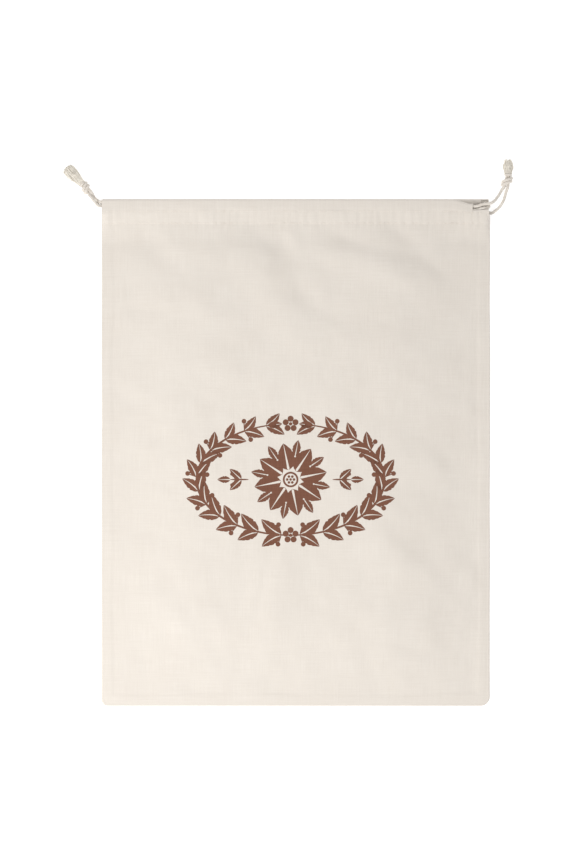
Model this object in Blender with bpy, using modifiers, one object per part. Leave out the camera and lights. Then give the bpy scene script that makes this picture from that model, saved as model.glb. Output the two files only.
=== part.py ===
"""A drawstring bread bag of plain undyed cloth, lying flat on its back.

Blender 4.5 script, in metres, +Z up. The bag's width runs along X and its length along Y, with the mouth
at +Y. The back panel lies on the surface at Z = 0, and the origin is under the middle of the bag.

The bag is two panels sewn together along the sides and the bottom. Each panel's top edge is turned in and
sewn down in two rows, which leaves a channel under the top fold. Two drawcords run right round through both
channels. The left one has both its ends knotted together outside the left side, and the right one outside the
right side. Past each knot the cord ends are frayed into a short tassel.
"""

import math
from typing import NamedTuple

import bmesh
import bpy
from mathutils import Matrix, Vector

MM = 0.001

# Bag
WIDTH = 300 * MM
LENGTH = 392 * MM
CLOTH = 1.0 * MM  # thickness of a cloth solid
GAP = 0.3 * MM  # between pieces, and between the layers of a fold
LAYER_PITCH = CLOTH + GAP  # middle of one layer to the middle of the next
CORNER_LEFT = 4.5 * MM  # radius of the bottom left corner
CORNER_RIGHT = 7.0 * MM

# Hem and cord channel
CORD = 2.4 * MM  # diameter of a drawcord
CORD_FIT = 0.3 * MM  # room round a cord in its channel
FOLD_RADIUS = CORD / 2 + CORD_FIT + CLOTH / 2  # of the cloth's middle over the top
FOLD_INSET = FOLD_RADIUS + CLOTH / 2  # from the bag's top edge to the middle of the fold
LANE_PITCH = 2.8 * MM  # between the two cords in one channel
CORD_STEP = 2.0 * MM  # between the points of a cord where it is free
HEM_DEPTH = 20 * MM  # top edge to the second row of stitches
HEM_TURNED = 19 * MM  # how far the cloth is turned in
STITCH_DEPTH = 9.8 * MM  # top edge to the first row of stitches
SEAM_END_DEPTH = 15 * MM  # top edge to where the side seams end
SEAM_DRAWN = 4 * MM  # how far in from its edge the hem is drawn down to the side seam

# Slit at the right end of the front channel, where both drawcords show
SLIT = 138 * MM  # where it starts, to the right of the middle
DROOP_TOP = 3.5 * MM  # how far the front panel's top edge sinks at the slit
DROOP_STITCH = 1.2 * MM
DROOP_LENGTH = 34 * MM

# How far the front panel takes to rise from a seam to its full height
SIDE_RISE = 85 * MM
BOTTOM_RISE = 75 * MM

# Knots and tassels
STUB = 4.6 * MM  # cord that belongs to a knot's own solid
KNOT_TUBE = 1.7 * MM  # radius of the doubled cord in a knot
KNOT_VOXEL = 0.6 * MM
KNOT_SHARE = 0.55  # of the remeshed faces that are kept
LOCK_RADIUS = 0.62 * MM  # of one lock of a tassel
LOCK_PITCH = 1.6 * MM

TOP = LENGTH / 2
BOTTOM = -LENGTH / 2
SIDE = WIDTH / 2
HEM_EDGE = TOP - HEM_DEPTH
STITCH = TOP - STITCH_DEPTH
SEAM_END = TOP - SEAM_END_DEPTH
SEAM_Z = CLOTH / 2 + LAYER_PITCH  # middle of the front panel where it lies on the back one
BACK_CHANNEL_Z = CLOTH / 2 + FOLD_RADIUS

# Where the cloth is given points across its width, and down the front panel from the bottom seam to the hem
EDGE_COLUMNS = [x * MM for x in (-150, -146, -138)]
INNER_COLUMNS = [x * MM for x in range(-128, 129, 16)]
COLUMNS = EDGE_COLUMNS + INNER_COLUMNS + [-x for x in reversed(EDGE_COLUMNS)]
BACK_COLUMNS = [x * MM for x in (-150, -138, -88, -30, 30, 88, 138, 150)]
CORNER_ROWS = [BOTTOM + y * MM for y in (0, 0.8, 2.6, 6)]
FRONT_ROWS = [y * MM for y in range(-180, 166, 15)] + [171 * MM, HEM_EDGE]
SEAM_RISE_START = FRONT_ROWS[-2]
BACK_ROWS = [-60 * MM, 70 * MM, HEM_EDGE]
FOLD_STEPS = 6


class Level(NamedTuple):
    """Height of the front panel's middle above the surface, at one distance up the bag."""

    y: float
    seam: float  # at the side seams
    crown: float  # in the middle


LEVELS = (
    Level(y=BOTTOM, seam=SEAM_Z, crown=10.6 * MM),
    Level(y=-20 * MM, seam=SEAM_Z, crown=11.0 * MM),
    Level(y=160 * MM, seam=SEAM_Z, crown=11.6 * MM),
    Level(y=STITCH, seam=8.45 * MM, crown=12.95 * MM),
)


class Fold(NamedTuple):
    """A long soft ridge, or a trough where the height is below zero, from one point to another."""

    x0: float
    y0: float
    x1: float
    y1: float
    half_width: float
    height: float


FOLDS = (
    Fold(x0=-42 * MM, y0=166 * MM, x1=4 * MM, y1=92 * MM, half_width=15 * MM, height=2.2 * MM),
    Fold(x0=20 * MM, y0=160 * MM, x1=124 * MM, y1=122 * MM, half_width=14 * MM, height=2.5 * MM),
    Fold(x0=-112 * MM, y0=134 * MM, x1=-46 * MM, y1=100 * MM, half_width=15 * MM, height=1.8 * MM),
    Fold(x0=-118 * MM, y0=42 * MM, x1=-74 * MM, y1=-12 * MM, half_width=17 * MM, height=1.7 * MM),
    Fold(x0=46 * MM, y0=-44 * MM, x1=124 * MM, y1=-130 * MM, half_width=16 * MM, height=2.2 * MM),
    Fold(x0=-4 * MM, y0=-76 * MM, x1=-30 * MM, y1=-150 * MM, half_width=17 * MM, height=1.6 * MM),
)

# Knots: middle, the way each one points, its size beside the plain knot path, and its tassel
KNOTS = {
    "left": {
        "middle": Vector((-163.2, 205.2, 2.75)) * MM,
        "heading": math.radians(131),
        "size": 0.78,
        "tassel_heading": math.radians(134),
        "tassel_length": 17.5 * MM,
        "tassel_spread": 1.08,
    },
    "right": {
        "middle": Vector((163.6, 211.4, 3.15)) * MM,
        "heading": math.radians(80),
        "size": 0.9,
        "tassel_heading": math.radians(91),
        "tassel_length": 11.5 * MM,
        "tassel_spread": 0.86,
    },
}

# Middle of the doubled cord through an overhand knot that points along +X
KNOT_PATH = [
    Vector(p) * MM
    for p in (
        (-4.6, -0.2, 0.0),
        (-2.6, -1.2, -0.9),
        (0.4, -2.2, 1.2),
        (3.6, -0.6, 0.2),
        (2.2, 2.4, -1.0),
        (-1.6, 2.5, 0.3),
        (-3.4, 0.2, 1.6),
        (-1.8, -2.6, 0.2),
        (0.6, -0.9, -1.6),
        (2.2, 0.9, 0.4),
        (4.8, 0.4, 0.3),
    )
]

# Free stretches of the drawcords, from the bag to the knot
LEFT_FRONT_TAIL = ((-152.3, 190.3, 8.7), (-154.7, 192.3, 8.9), (-157.4, 195.4, 6.0), (-159.2, 197.9, 3.5))
LEFT_BACK_TAIL = ((-151.0, 193.6, 2.5), (-153.4, 195.2, 2.2), (-155.8, 197.7, 2.1), (-157.3, 200.2, 2.5))
RIGHT_FRONT_TAIL = ((150.6, 192.4, 8.5), (153.8, 194.6, 7.0), (156.9, 198.6, 4.2), (159.4, 203.2, 2.5))
RIGHT_BACK_TAIL = (
    (150.6, 184.9, 2.5),
    (154.2, 186.6, 1.7),
    (158.0, 190.1, 1.4),
    (160.9, 195.2, 1.4),
    (162.6, 201.0, 2.0),
)

# The drawcords in the slit, and where each turns from the front channel to the back one
RIGHT_CORD_IN_SLIT = (145.0, 191.4, 8.1)
LEFT_CORD_IN_SLIT = (145.0, 187.9, 7.6)
LEFT_CORD_TURN = ((148.8, 188.4, 6.7), (150.4, 190.4, 4.9), (149.4, 192.8, 3.1), (146.0, 193.5, 2.5))
RIGHT_CORD_BACK_IN_SLIT = (144.5, 188.4, 2.6)
RIGHT_CORD_TURN = ((-152.4, 193.5, 7.0), (-153.6, 192.6, 4.9), (-152.5, 190.9, 3.1))

CLOTH_COLOUR = (0.80, 0.74, 0.66, 1.0)
CORD_COLOUR = (0.84, 0.77, 0.66, 1.0)


def clear_scene():
    for obj in list(bpy.data.objects):
        bpy.data.objects.remove(obj, do_unlink=True)


def make_collection(name):
    collection = bpy.data.collections.new(name)
    bpy.context.scene.collection.children.link(collection)
    return collection


def make_material(name, colour, roughness):
    material = bpy.data.materials.new(name)
    material.use_nodes = True
    shader = material.node_tree.nodes["Principled BSDF"]
    shader.inputs["Base Color"].default_value = colour
    shader.inputs["Roughness"].default_value = roughness
    shader.inputs["Metallic"].default_value = 0.0
    return material


def smoothstep(low, high, value):
    share = min(max((value - low) / (high - low), 0.0), 1.0)
    return share * share * (3 - 2 * share)


def turned(middle_y, middle_z, radius, degrees):
    """A point of an arc in the plane of Y and Z. 90 degrees is its top, and 0 its side towards the mouth."""
    angle = math.radians(degrees)
    return middle_y + radius * math.cos(angle), middle_z + radius * math.sin(angle)


def droop(x):
    """How much of the droop towards the slit is reached, from 0 to 1."""
    return smoothstep(SLIT - DROOP_LENGTH, SLIT, x)


def front_top(x):
    return TOP - DROOP_TOP * droop(x)


def front_stitch(x):
    return STITCH - DROOP_STITCH * droop(x)


def side_rise(x):
    return smoothstep(0, SIDE_RISE, SIDE - abs(x))


def bottom_rise(y):
    return smoothstep(0, BOTTOM_RISE, y - BOTTOM)


def level_at(y):
    for low, high in zip(LEVELS, LEVELS[1:]):
        if y <= high.y:
            share = smoothstep(low.y, high.y, y)
            seam = low.seam + (high.seam - low.seam) * share
            return seam, low.crown + (high.crown - low.crown) * share
    return LEVELS[-1].seam, LEVELS[-1].crown


def fold_relief(x, y):
    """Height that the long soft folds add at one place of the front panel."""
    total = 0.0
    for fold in FOLDS:
        along = Vector((fold.x1 - fold.x0, fold.y1 - fold.y0))
        to_point = Vector((x - fold.x0, y - fold.y0))
        share = min(max(to_point.dot(along) / along.length_squared, 0.0), 1.0)
        away = (to_point - along * share).length / fold.half_width
        total += fold.height * math.exp(-away * away) * (0.55 + 0.45 * math.sin(math.pi * share))
    return total * (1 - smoothstep(150 * MM, HEM_EDGE, y))


def seam_edge_z(y):
    """Height of the front panel's middle at its side edge. Further up, both panels' hems lie under it."""
    in_hem = SEAM_Z + 2 * LAYER_PITCH
    height = SEAM_Z + (in_hem - SEAM_Z) * smoothstep(SEAM_RISE_START, HEM_EDGE, y)
    return height + (LEVELS[-1].seam - in_hem) * smoothstep(SEAM_END, STITCH, y)


def front_height(x, y):
    """Height of the front panel's middle, up to the first row of stitches."""
    seam, crown = level_at(y)
    rise = side_rise(x) * bottom_rise(y)
    height = seam + (crown - seam + fold_relief(x, y)) * rise
    return height + (seam_edge_z(y) - height) * smoothstep(SIDE - SEAM_DRAWN, SIDE, abs(x))


def front_channel_z(x):
    """Height of the front channel's middle. Its two layers arch up and down from the stitches."""
    return front_height(x, STITCH) - LAYER_PITCH / 2


def front_section(x):
    """The front panel's cloth in a cut at x: up the front, over the top fold and down inside to the hem."""
    top, stitch, channel_z = front_top(x), front_stitch(x), front_channel_z(x)
    lane_y = top - FOLD_INSET - LANE_PITCH
    hem_middle = (HEM_EDGE + STITCH) / 2
    section = [(y, front_height(x, y)) for y in CORNER_ROWS + FRONT_ROWS + [hem_middle]]
    section += [(stitch, front_height(x, STITCH))]
    section += [turned(lane_y, channel_z, FOLD_RADIUS, angle) for angle in (150, 120, 90)]
    section += fold_points(top - FOLD_INSET, channel_z, 90, -90)
    section += [(lane_y, channel_z - FOLD_RADIUS), (stitch, front_height(x, STITCH) - LAYER_PITCH)]
    section += [(y, front_height(x, y) - LAYER_PITCH) for y in (hem_middle, TOP - HEM_TURNED)]
    return section


def back_section(x):
    """The back panel's cloth in a cut: flat on the surface, over the top fold and down inside to the hem."""
    lane_y = TOP - FOLD_INSET - LANE_PITCH
    outer_z = CLOTH / 2
    inner_z = outer_z + LAYER_PITCH
    section = [(y, outer_z) for y in CORNER_ROWS + BACK_ROWS + [STITCH]]
    section += fold_points(TOP - FOLD_INSET, BACK_CHANNEL_Z, -90, 90)
    section += [turned(lane_y, BACK_CHANNEL_Z, FOLD_RADIUS, angle) for angle in (90, 120, 150)]
    section += [(STITCH, inner_z), (TOP - HEM_TURNED, inner_z)]
    return section


def fold_points(middle_y, middle_z, start, end):
    step = (end - start) / FOLD_STEPS
    return [turned(middle_y, middle_z, FOLD_RADIUS, start + step * i) for i in range(FOLD_STEPS + 1)]


def half_width(x, y):
    """Half the bag's width at one distance up it, less than the whole where a bottom corner is rounded."""
    radius = CORNER_RIGHT if x > 0 else CORNER_LEFT
    up = min(y - BOTTOM, radius)
    return SIDE - radius + math.sqrt(radius * radius - (radius - up) ** 2)


def cloth_sheet(name, columns, section_at, is_cut_away, material, collection):
    """A sheet of cloth with one section for each column, less the faces that is_cut_away gives to a slit."""
    sections = [section_at(x) for x in columns]
    across, along = len(columns) - 1, len(sections[0]) - 1
    mesh = bpy.data.meshes.new(name)
    sheet = bmesh.new()
    bmesh.ops.create_grid(sheet, x_segments=across, y_segments=along, size=0.5)
    for vertex in sheet.verts:
        column = round((vertex.co.x + 0.5) * across)
        row = round((vertex.co.y + 0.5) * along)
        y, z = sections[column][row]
        x = columns[column]
        vertex.co = Vector((x * half_width(x, y) / SIDE, y, z))
    doomed = [face for face in sheet.faces if is_cut_away(face.index, across)]
    bmesh.ops.delete(sheet, geom=doomed, context="FACES")
    sheet.to_mesh(mesh)
    sheet.free()
    obj = bpy.data.objects.new(name, mesh)
    collection.objects.link(obj)
    thicken = obj.modifiers.new("Thickness", "SOLIDIFY")
    thicken.thickness = CLOTH
    thicken.offset = 0
    thicken.use_even_offset = True
    mesh.materials.append(material)
    mesh.shade_smooth()
    mesh.set_sharp_from_angle(angle=math.radians(40))
    return obj


def make_front_panel(material, collection):
    slit_column = COLUMNS.index(SLIT)
    stitch_row = len(CORNER_ROWS + FRONT_ROWS) + 1
    inner_stitch_row = stitch_row + 3 + (FOLD_STEPS + 1) + 2

    def is_cut_away(face, across):
        row, column = divmod(face, across)
        return column >= slit_column and stitch_row <= row < inner_stitch_row

    return cloth_sheet("front_panel", COLUMNS, front_section, is_cut_away, material, collection)


def make_back_panel(material, collection):
    slit_column = BACK_COLUMNS.index(SLIT)
    lip_row = len(CORNER_ROWS + BACK_ROWS) + 1 + FOLD_STEPS // 2

    def is_cut_away(face, across):
        row, column = divmod(face, across)
        return column >= slit_column and row >= lip_row

    return cloth_sheet("back_panel", BACK_COLUMNS, back_section, is_cut_away, material, collection)


def smooth_line(points, step):
    """Points of a smooth curve through the given ones. A stretch inside a channel keeps only its ends."""
    ends = [points[0] * 2 - points[1]] + list(points) + [points[-1] * 2 - points[-2]]
    line = [points[0]]
    for before, start, end, after in zip(ends, ends[1:], ends[2:], ends[3:]):
        is_hidden = min(start.x, end.x) >= -SIDE and max(start.x, end.x) <= SLIT
        count = 1 if is_hidden else max(1, round((end - start).length / step))
        for i in range(1, count + 1):
            line.append(between(before, start, end, after, i / count))
    return line


def between(before, start, end, after, t):
    """A point of the smooth curve from start, where t is 0, to end, where t is 1."""
    bend = 2 * before - 5 * start + 4 * end - after
    twist = 3 * start - before - 3 * end + after
    return start + (end - before) * (t / 2) + bend * (t * t / 2) + twist * (t**3 / 2)


def front_lane(x, low):
    return Vector((x, front_top(x) - FOLD_INSET - LANE_PITCH * low, front_channel_z(x)))


def back_lane(x, low):
    return Vector((x, TOP - FOLD_INSET - LANE_PITCH * low, BACK_CHANNEL_Z))


def millimetres(points):
    return [Vector(p) * MM for p in points]


def knot_place(side, point):
    """A point of the plain knot path, placed where this side's knot is."""
    knot = KNOTS[side]
    return knot["middle"] + Matrix.Rotation(knot["heading"], 3, "Z") @ (point * knot["size"])


def knot_entry(side, across):
    """Where one strand of a drawcord runs into its knot, from outside to inside."""
    places = [Vector((x, across * spread, 0.0)) * MM for x, spread in ((-7.5, 1.6), (-3.6, 1.35))]
    return [knot_place(side, place) for place in places]


def left_cord_route():
    inside = [x for x in COLUMNS if x <= SLIT]
    front_out = knot_entry("left", 1)[::-1] + millimetres(LEFT_FRONT_TAIL)[::-1]
    front_run = [front_lane(x, low=1) for x in inside]
    turn = millimetres([LEFT_CORD_IN_SLIT, *LEFT_CORD_TURN])
    back_run = [back_lane(x, low=0) for x in reversed(inside)]
    back_out = millimetres(LEFT_BACK_TAIL) + knot_entry("left", -1)
    return front_out + front_run + turn + back_run + back_out


def right_cord_route():
    inside = [x for x in COLUMNS if x <= SLIT]
    front_out = knot_entry("right", 1)[::-1] + millimetres([RIGHT_CORD_IN_SLIT, *RIGHT_FRONT_TAIL])[::-1]
    front_run = [front_lane(x, low=0) for x in reversed(inside)]
    turn = millimetres(RIGHT_CORD_TURN)
    back_run = [back_lane(x, low=1) for x in inside]
    back_out = millimetres([RIGHT_CORD_BACK_IN_SLIT, *RIGHT_BACK_TAIL]) + knot_entry("right", -1)
    return front_out + front_run + turn + back_run + back_out


def cut_line(line, start, end):
    """The stretch of a line between two distances along it. An end below zero counts from its far end."""
    distances = [0.0]
    for a, b in zip(line, line[1:]):
        distances.append(distances[-1] + (b - a).length)
    end = end if end > 0 else distances[-1] + end

    def at(distance):
        for i in range(1, len(line)):
            if distances[i] >= distance:
                share = (distance - distances[i - 1]) / (distances[i] - distances[i - 1])
                return line[i - 1].lerp(line[i], share)
        return line[-1]

    between_ends = [p for p, d in zip(line, distances) if start + GAP < d < end - GAP]
    return [at(start)] + between_ends + [at(end)]


def tube(name, line, radius, resolution, material, collection):
    curve = bpy.data.curves.new(name, "CURVE")
    curve.dimensions = "3D"
    curve.bevel_depth = radius
    curve.bevel_resolution = resolution
    curve.use_fill_caps = True
    spline = curve.splines.new("POLY")
    spline.points.add(len(line) - 1)
    for point, place in zip(spline.points, line):
        point.co = (*place, 1.0)
    curve.materials.append(material)
    obj = bpy.data.objects.new(name, curve)
    collection.objects.link(obj)
    return obj


def as_mesh(obj, collection):
    """The same tube as a closed mesh, which a modifier can join to another."""
    bpy.context.view_layer.update()
    evaluated = obj.evaluated_get(bpy.context.evaluated_depsgraph_get())
    mesh = bpy.data.meshes.new_from_object(evaluated)
    welded = bmesh.new()
    welded.from_mesh(mesh)
    bmesh.ops.remove_doubles(welded, verts=welded.verts, dist=0.00001)
    bmesh.ops.recalc_face_normals(welded, faces=welded.faces)
    welded.to_mesh(mesh)
    welded.free()
    name = obj.name
    made = bpy.data.objects.new(name + "_solid", mesh)
    made.matrix_world = obj.matrix_world
    collection.objects.link(made)
    bpy.data.objects.remove(obj)
    made.name = name
    return made


def make_drawcord(name, route, material, collection):
    """A drawcord between its knot's two stubs."""
    line = smooth_line(route, CORD_STEP)
    return tube(name, cut_line(line, STUB + GAP, -STUB - GAP), CORD / 2, 2, material, collection)


def tassel_locks(side):
    """The middle line of each lock of a tassel: layers that lie on each other, fanned out from the knot."""
    knot = KNOTS[side]
    root = knot_place(side, KNOT_PATH[-1])
    ahead = Matrix.Rotation(knot["tassel_heading"], 3, "Z")
    locks = []
    for layer, count in enumerate((5, 5, 4)):
        for i in range(count):
            place = i - (count - 1) / 2
            height = LOCK_RADIUS + 0.12 * MM + layer * LOCK_PITCH * 0.92
            reach = knot["tassel_length"] * (1 - 0.035 * abs(place) - 0.05 * ((i * 3 + layer * 2) % 4))
            line = []
            for share in (-0.12, 0.16, 0.42, 0.7, 1.0):
                fan = smoothstep(-0.1, 0.6, share) * (1 - 0.16 * smoothstep(0.6, 1.0, share))
                across = place * LOCK_PITCH * (0.4 + 0.6 * fan) * knot["tassel_spread"]
                point = root + ahead @ Vector((reach * share, across, 0.0))
                settle = smoothstep(-0.1, 0.45, share)
                middle = root.z + (layer - 1) * 0.7 * MM
                point.z = middle + (height - middle) * settle
                line.append(point)
            locks.append(line)
    return locks


def make_knot(side, route, material, collection, tools):
    """An overhand knot of the doubled cord, with the stubs of its two strands and the tassel past it."""
    name = f"knot_{side}"
    path = smooth_line([knot_place(side, p) for p in KNOT_PATH], 1.0 * MM)
    head = tube(name, path, KNOT_TUBE * KNOTS[side]["size"], 2, material, collection)
    knot = as_mesh(head, collection)
    fuse = knot.modifiers.new("Fuse", "REMESH")
    fuse.mode = "VOXEL"
    fuse.voxel_size = KNOT_VOXEL
    thin = knot.modifiers.new("Thin", "DECIMATE")
    thin.ratio = KNOT_SHARE
    joined = bpy.data.collections.new(f"{name}_parts")
    tools.children.link(joined)
    line = smooth_line(route, CORD_STEP)
    stubs = [cut_line(line, 0.0, STUB), cut_line(line[::-1], 0.0, STUB)]
    pieces = [tube(f"{name}_stub_{i}", stub, CORD / 2, 2, material, joined) for i, stub in enumerate(stubs)]
    for i, lock in enumerate(tassel_locks(side)):
        pieces.append(tube(f"{name}_lock_{i}", lock, LOCK_RADIUS, 0, material, joined))
    for piece in pieces:
        solid = as_mesh(piece, joined)
        solid.hide_render = True
        solid.display_type = "WIRE"
    union = knot.modifiers.new("Strands", "BOOLEAN")
    union.operation = "UNION"
    union.operand_type = "COLLECTION"
    union.collection = joined
    union.solver = "EXACT"
    return knot


def main():
    clear_scene()
    bag = make_collection("bread_bag")
    tools = make_collection("tools")
    cloth = make_material("undyed_cloth", CLOTH_COLOUR, 0.9)
    cord = make_material("cotton_cord", CORD_COLOUR, 0.85)
    make_back_panel(cloth, bag)
    make_front_panel(cloth, bag)
    routes = {"left": left_cord_route(), "right": right_cord_route()}
    for side, route in routes.items():
        make_drawcord(f"drawcord_{side}", route, cord, bag)
        make_knot(side, route, cord, bag, tools)
    tools.hide_render = True


main()
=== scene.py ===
"""The looks of a drawstring bread bag of plain undyed cloth that lies flat on its back.

Metres, +Z up: the bag's width runs along X and its length along Y, with the mouth at +Y. The two panels are
thin woven sheets with soft folds, hems, stitches and turned edges. The drawcords are twisted, with knots and
frayed tassels. A wreath of leaves round a flower is printed on the front.
"""

import math
import random

import bmesh
import bpy
from mathutils import Matrix, Vector, noise


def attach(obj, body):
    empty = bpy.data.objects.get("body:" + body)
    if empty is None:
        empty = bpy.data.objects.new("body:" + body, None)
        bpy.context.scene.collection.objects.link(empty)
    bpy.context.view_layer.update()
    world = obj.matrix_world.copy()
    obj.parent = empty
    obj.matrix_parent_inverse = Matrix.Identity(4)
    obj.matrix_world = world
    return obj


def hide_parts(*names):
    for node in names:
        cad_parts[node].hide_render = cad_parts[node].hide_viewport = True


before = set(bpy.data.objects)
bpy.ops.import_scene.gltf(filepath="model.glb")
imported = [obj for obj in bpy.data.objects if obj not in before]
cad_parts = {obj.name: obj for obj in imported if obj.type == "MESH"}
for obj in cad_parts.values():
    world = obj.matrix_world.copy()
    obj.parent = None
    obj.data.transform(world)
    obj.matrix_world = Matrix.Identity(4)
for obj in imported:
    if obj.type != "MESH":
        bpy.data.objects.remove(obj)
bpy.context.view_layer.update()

MM = 0.001

# Bag, as in the solids
SIDE = 150 * MM
TOP = 196 * MM
BOTTOM = -196 * MM
SOLID_CLOTH = 1.0 * MM
LAYER_PITCH = 1.3 * MM
CORNER_LEFT = 4.5 * MM
CORNER_RIGHT = 7.0 * MM
CORD = 2.4 * MM
CORD_FULLNESS = 1.06  # reach of its plies beyond the solid's surface
FOLD_RADIUS = 2.0 * MM
FOLD_INSET = 2.5 * MM
LANE_PITCH = 2.8 * MM
HEM_EDGE = TOP - 20 * MM
HEM_TURNED = 19 * MM
STITCH = TOP - 9.8 * MM
SLIT = 136.8 * MM  # a little nearer the middle than in the solids
DROOP_TOP = 3.5 * MM
DROOP_STITCH = 1.2 * MM
DROOP_LENGTH = 16 * MM  # shorter than in the solids
SIDE_RISE = 85 * MM
BOTTOM_RISE = 75 * MM
SEAM_END = TOP - 15 * MM
BACK_CHANNEL_Z = SOLID_CLOTH / 2 + FOLD_RADIUS

# Cloth of the looks
CLOTH = 0.5 * MM
LIFT = 0.2 * MM  # middle of the thin front sheet above the middle of its solid
INNER_DROP = 0.7 * MM  # middle of the front hem's inner layer below the outer one's
CHANNEL_RISE = 1.5 * MM  # middle of a channel's cloth above and below the middle of its cords
SEAM_EDGE_Z = 1.45 * MM  # middle of the front sheet at its very edge
HEM_SEAM_EDGE_Z = 2.5 * MM  # the same in the hem, over the back panel's hem
EDGE_ROUND = 1.0 * MM  # width of the rounded edge
HEM_EDGE_ROUND = 4.0 * MM
ALLOWANCE = 8.0 * MM  # how far the seam allowances reach in
ALLOWANCE_STEP = 0.38 * MM
SEAM_GROOVE = 0.16 * MM  # depth of the groove along the seams
SECOND_STITCH = HEM_EDGE + 1 * MM  # second row of stitches
STITCH_PITCH = 3.1 * MM
STITCH_START = 0.25 * MM  # from the start of a pitch to where its stitch comes up
STITCH_END = 0.35 * MM  # from where it goes down to the end of the pitch
STITCH_MARGIN = 3 * MM  # between the side seams and the ends of a row
STITCH_STRAY = 0.1 * MM
BACK_STITCH_Z = 0.2 * MM
HEM_SAG = 1.6 * MM  # how far the cloth sags at the hem's edge
SAG_LENGTH = 26 * MM
HEM_RISE = 0.15 * MM  # how far the hem stands above its solid at the channel
PUCKER = 0.5 * MM
FRONT_FOLD_REACH = 1.8 * MM  # how far the cloth of a top fold reaches past the middle of its channel
BACK_FOLD_REACH = 2.1 * MM
FOLD_SHARPNESS = 0.76  # 1 is round, and less is squarer
LEFT_DRAW = 0.6 * MM  # how far the ends of the hem are drawn in
RIGHT_DRAW = 0.9 * MM
SLIT_LIP_ROWS = 6  # rows of the channel's cloth that stay below the slit
SLIT_LIP_RISE = 1.2 * MM  # how far that cloth reaches up further at the bag's side
BACK_SLIT = SLIT + 6.5 * MM  # where the back channel's fold is open
BACK_BULGE = 1.2 * MM  # how far the back channel stands proud where the front one droops
THREAD = 0.52 * MM
THREAD_SHIFT = 0.45 * MM  # how far the threads wander from their straight lines
CORD_PLIES = 3
CORD_PITCH = 6.8 * MM  # length of one turn of its plies
KNOT_PITCH = 0.8 * CORD_PITCH
CORD_STEP = 0.85 * MM
KNOT_STEP = 0.5 * MM
CORD_SIDES = 14

# Scales of the unevenness of threads, cloth and cord, across and along, as noise per metre
THREAD_WANDER = 160
WARP_SLUB = (1900, 45, 1)
WEFT_SLUB = (38, 1900, 1)
BLOTCH = (26, 26, 26)
FIBRE = (5200, 520, 1)
CORD_PATCH = (300, 120, 1)

# Spacing of the sheets' points
EDGE_MILLIMETRES = (0, 0.12, 0.35, 0.7, 1.15, 1.7, 2.4, 3.3, 4.6, 6.0, 7.2, 8.0, 8.8, 9.8, 11.0)
EDGE_STEPS = [distance * MM for distance in EDGE_MILLIMETRES]
BODY_PITCH = 2.3 * MM
HEM_START = HEM_EDGE - 16 * MM
HEM_ROWS = 31
CHANNEL_ROWS = 9  # from the first row of stitches to the crest of the front channel
BACK_CHANNEL_ROWS = 7
INNER_ROWS = 5
FOLD_ROWS = 12
COLUMN_PITCH = 1.75 * MM
SLIT_BAND = 2.0 * MM

# Height of the front panel's middle: distance up the bag, at the side seams, and in the middle
LEVELS = (
    (BOTTOM, 1.8 * MM, 10.6 * MM),
    (-20 * MM, 1.8 * MM, 11.0 * MM),
    (160 * MM, 1.8 * MM, 11.6 * MM),
    (STITCH, 8.45 * MM, 12.95 * MM),
)

# Main soft ridges in millimetres, as in the solids: start x, y, end x, y, half width, height
FOLDS = (
    (-42, 166, 4, 92, 15, 2.2),
    (20, 160, 124, 122, 14, 2.5),
    (-112, 134, -46, 100, 15, 1.8),
    (-118, 42, -74, -12, 17, 1.7),
    (46, -44, 124, -130, 16, 2.2),
    (-4, -76, -30, -150, 17, 1.6),
)

# Smaller creases and hollows, with the same columns
CREASES = (
    (18, 104, 42, 86, 5, 0.5),
    (-33, 173, -7, 150, 6.5, -1.1),
    (-15, 170, 0, 151, 6, -0.95),
    (-8, 171, -12, 148, 7, -1.1),
    (29, 171, 51, 159, 6, -0.9),
    (51, 159, 93, 152, 6, -0.8),
    (93, 152, 115, 139, 6, -0.9),
    (70, 175, 101, 155, 6, -0.8),
    (-117, 165, -84, 136, 7, -0.8),
    (-1, 134, 14, 113, 6, -0.75),
    (141, -36, 143, -128, 5, 0.35),
    (62, -66, 74, -84, 5, -0.4),
    (101, -73, 132, -119, 6, -0.3),
    (65, -145, 101, -156, 6, -0.7),
    (8, -153, 62, -152, 6, -0.4),
    (-17, -74, -30, -126, 4, -0.4),
    (-25, -78, -38, -128, 4, 0.35),
    (-108, 12, -76, 3, 7, -0.5),
    (-60, 172, -52, 156, 4, 0.35),
    (-104, 173, -98, 160, 4, 0.35),
    (-96, 150, -58, 139, 6, -0.45),
    (-126, 112, -90, 104, 6, -0.45),
    (-40, 58, 28, 44, 9, 0.45),
    (74, 60, 132, 34, 10, 0.55),
    (-126, -96, -84, -140, 9, 0.5),
    (60, 10, 118, -18, 9, 0.45),
    (-86, -118, -46, -166, 8, -0.45),
    (5, 176, 8, 157, 6, -0.75),
)

# Free stretches of the drawcords in millimetres, within about a millimetre of the solids' stretches
LEFT_FRONT_TAIL = ((-152.3, 190.3, 8.7), (-154.5, 192.6, 8.6), (-157.0, 195.8, 6.0), (-159.0, 198.2, 3.7))
LEFT_BACK_TAIL = ((-151.0, 193.4, 2.5), (-153.6, 194.9, 2.2), (-156.1, 197.4, 2.1), (-157.5, 200.0, 2.5))
RIGHT_FRONT_TAIL = ((150.6, 192.4, 8.5), (153.8, 194.6, 7.0), (156.9, 198.6, 4.2), (159.4, 203.2, 2.5))
RIGHT_BACK_TAIL = (
    (150.6, 184.9, 2.5),
    (154.2, 186.6, 1.7),
    (158.0, 190.1, 1.4),
    (160.9, 195.2, 1.4),
    (162.6, 201.0, 2.0),
)
RIGHT_CORD_IN_SLIT = (145.0, 191.7, 8.6)
LEFT_CORD_IN_SLIT = (145.0, 188.8, 8.0)
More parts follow.
